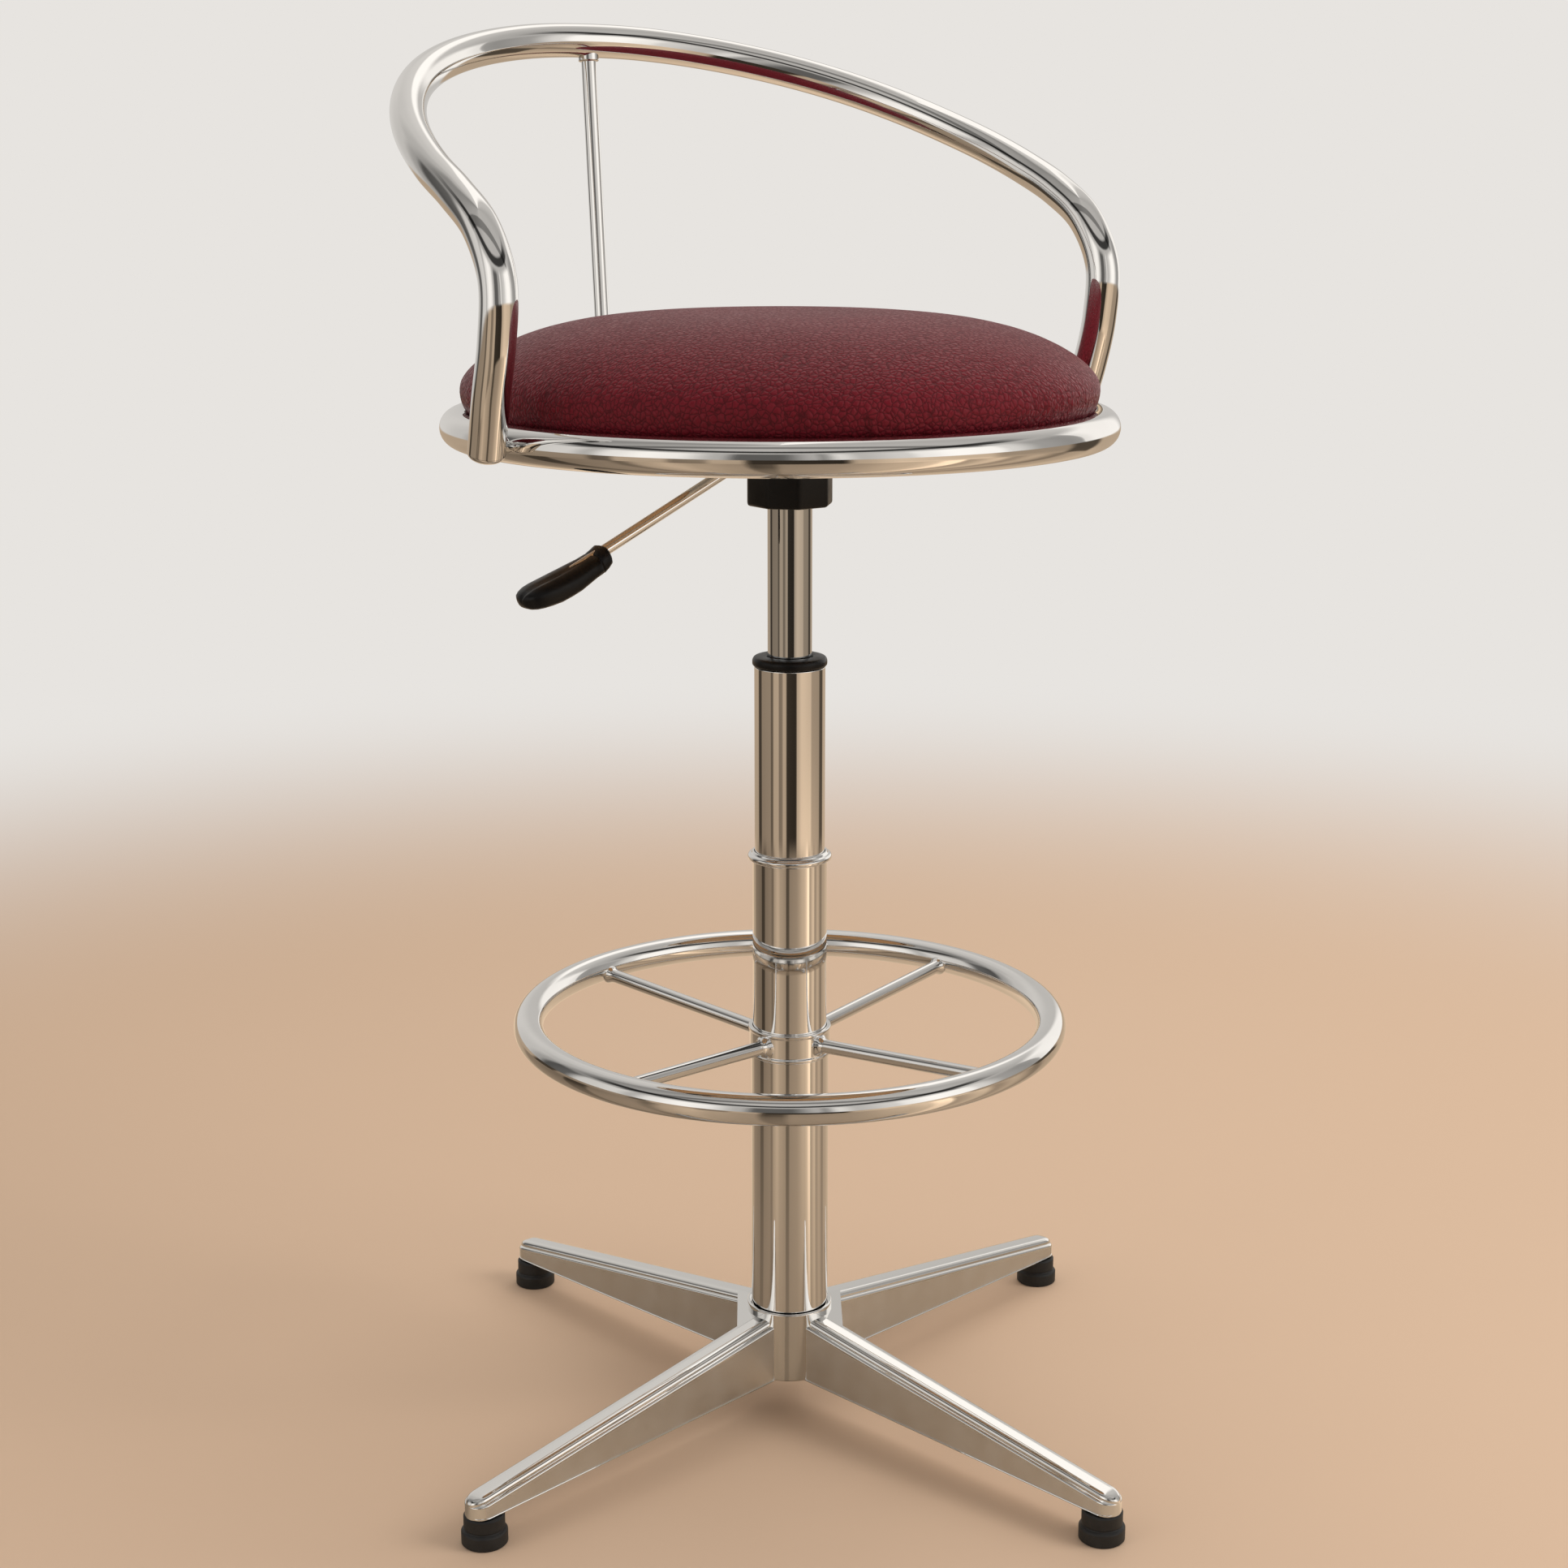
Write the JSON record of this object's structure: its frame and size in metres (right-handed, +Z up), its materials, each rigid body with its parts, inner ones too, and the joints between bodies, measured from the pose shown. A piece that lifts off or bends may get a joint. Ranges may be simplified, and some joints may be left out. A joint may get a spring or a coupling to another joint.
{
  "type": "counter stool",
  "caption": "Height-adjustable counter stool: round padded seat in a chrome ring, wrap-round back rail, foot ring on a gas-lift column, polished star base.",
  "frame": {"origin": "on the floor, on the axis of the column, in the middle of the square that the base's glides span", "axes": "+Z up, -Y the way the sitter faces, +Y the back of the stool, -X the sitter's right, the lever's side"},
  "size_m": [0.5494, 0.5494, 0.9044],
  "materials": {
    "chrome": "mirror-polished plate",
    "aluminium": "polished top, satin flanks",
    "steel": "zinc plated, dull",
    "black_plastic": "fine satin",
    "rubber": "matte",
    "leatherette": "burgundy, pebble grain, low sheen",
    "foam": "open cell",
    "plywood": "raw"
  },
  "bodies": {
    "base": {"base_star": "aluminium", "glide_1": "rubber", "glide_2": "rubber", "glide_3": "rubber", "glide_4": "rubber", "pedestal_plug": "steel", "base_washer": "steel", "base_bolt": "steel", "lower_tube": "chrome", "middle_tube": "chrome", "stand_tube": "chrome", "trim_ring": "chrome", "guide_bush": "black_plastic", "foot_ring_hub": "chrome", "set_screw_1": "steel", "set_screw_2": "steel", "foot_ring": "chrome", "spoke_1": "chrome", "spoke_2": "chrome", "spoke_3": "chrome", "spoke_4": "chrome", "bearing_race_lower": "steel", "bearing_ball_cage": "steel"},
    "spindle": {"piston_rod": "steel", "piston": "steel", "rod_clip": "steel", "bearing_race_upper": "steel", "bump_stop": "rubber"},
    "seat": {"gas_cylinder": "chrome", "column_socket": "steel", "socket_cover": "black_plastic", "lever_pivot_pin": "steel", "mechanism_plate": "steel", "seat_bolt_1": "steel", "seat_bolt_2": "steel", "seat_bolt_3": "steel", "seat_bolt_4": "steel", "cross_bar_1": "steel", "cross_bar_2": "steel", "seat_ring": "chrome", "seat_board": "plywood", "seat_foam": "foam", "seat_cover": "leatherette", "back_rail": "chrome", "rail_plug_right": "chrome", "rail_plug_left": "chrome", "rail_spacer_right": "chrome", "rail_spacer_left": "chrome", "back_strut": "chrome", "strut_collar": "chrome"},
    "lever": {"lever_rod": "chrome", "lever_handle": "black_plastic"},
    "release": {"release_pin": "steel"}
  },
  "joints": [
    {"name": "seat_swivel", "type": "hinge", "parent": "base", "child": "spindle", "pos_m": [0, 0, 0.26], "axis": [0, 0, 1], "continuous": true},
    {"name": "seat_lift", "type": "slide", "parent": "spindle", "child": "seat", "axis": [0, 0, 1], "range_m": [-0.085, 0.055]},
    {"name": "lever_tilt", "type": "hinge", "parent": "seat", "child": "lever", "pos_m": [-0.0185, 0, 0.6375], "axis": [0, 1, 0], "range_deg": [0, 7.4], "stiffness_Nm_per_rad": 8, "springref_deg": -2.86},
    {"name": "pin_press", "type": "slide", "parent": "seat", "child": "release", "axis": [0, 0, 1], "range_m": [-0.0026, 0]}
  ],
  "couplings": [
    {"joint": "pin_press", "follows": "lever_tilt", "m_per_rad": -0.0201}
  ]
}
